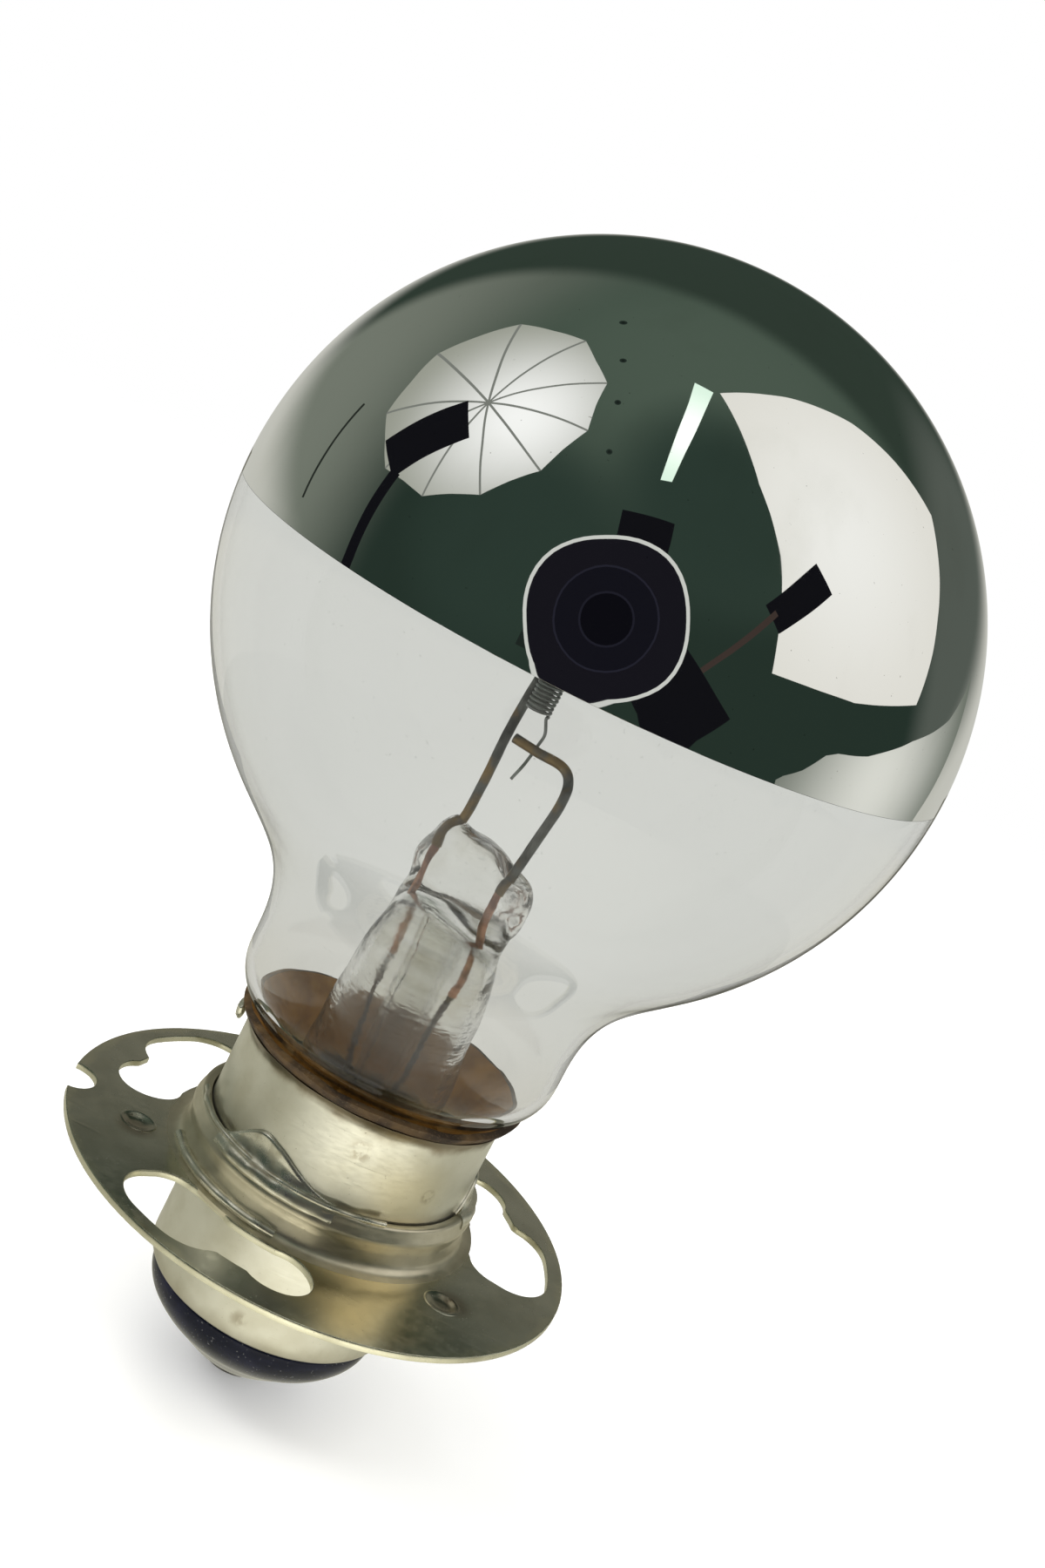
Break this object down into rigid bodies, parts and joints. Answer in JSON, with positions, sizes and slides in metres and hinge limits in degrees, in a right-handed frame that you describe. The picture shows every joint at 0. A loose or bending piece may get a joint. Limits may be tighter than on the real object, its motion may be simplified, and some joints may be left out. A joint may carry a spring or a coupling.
{
  "type": "crown-mirrored globe lamp",
  "caption": "Globe filament lamp with a silvered crown, a glass stem and coil inside, and a slotted focusing flange soldered around its metal cap with a centre contact.",
  "frame": {"origin": "on the lamp's axis, in the plane of the flange's underside, by which a lampholder seats and focuses the lamp", "axes": "+Z along the axis towards the mirrored crown, -Z towards the centre contact, -Y towards the side with the shallow seat between two of the slots"},
  "size_m": [0.06, 0.06, 0.102],
  "materials": {
    "clear_glass": "clear blown glass",
    "silvering": "mirror silvering behind glass",
    "stem_glass": "clear lead glass, flame worked",
    "lead_nickel": "dull grey-brown oxidised nickel wire",
    "tungsten": "dark grey drawn wire",
    "copper_clad": "dull copper-clad wire",
    "solder": "satin grey tin-lead solder",
    "cap_nickel": "pale satin nickel plate on brass",
    "flange_nickel": "dark satin tarnished nickel plate",
    "cement": "brown baked basing cement",
    "black_glass": "glossy blue-black insulating glass",
    "contact_brass": "worn brass contact"
  },
  "bodies": {
    "root": {"bulb_glass": "clear_glass", "mirror_coating": "silvering", "stem_tube": "stem_glass", "stem_pinch": "stem_glass", "exhaust_tube": "stem_glass", "lead_support_left": "lead_nickel", "lead_support_right": "lead_nickel", "filament_coil": "tungsten", "filament_lower_leg": "tungsten", "filament_upper_leg": "tungsten", "seal_wire_left": "copper_clad", "seal_wire_right": "copper_clad", "tail_wire_left": "copper_clad", "tail_wire_right": "copper_clad", "rim_solder": "solder", "cap_shell": "cap_nickel", "basing_cement": "cement", "focus_flange": "flange_nickel", "collar_solder_1": "solder", "collar_solder_2": "solder", "collar_solder_3": "solder", "insulator_cone": "black_glass", "centre_contact": "contact_brass", "contact_solder": "solder"}
  },
  "joints": []
}
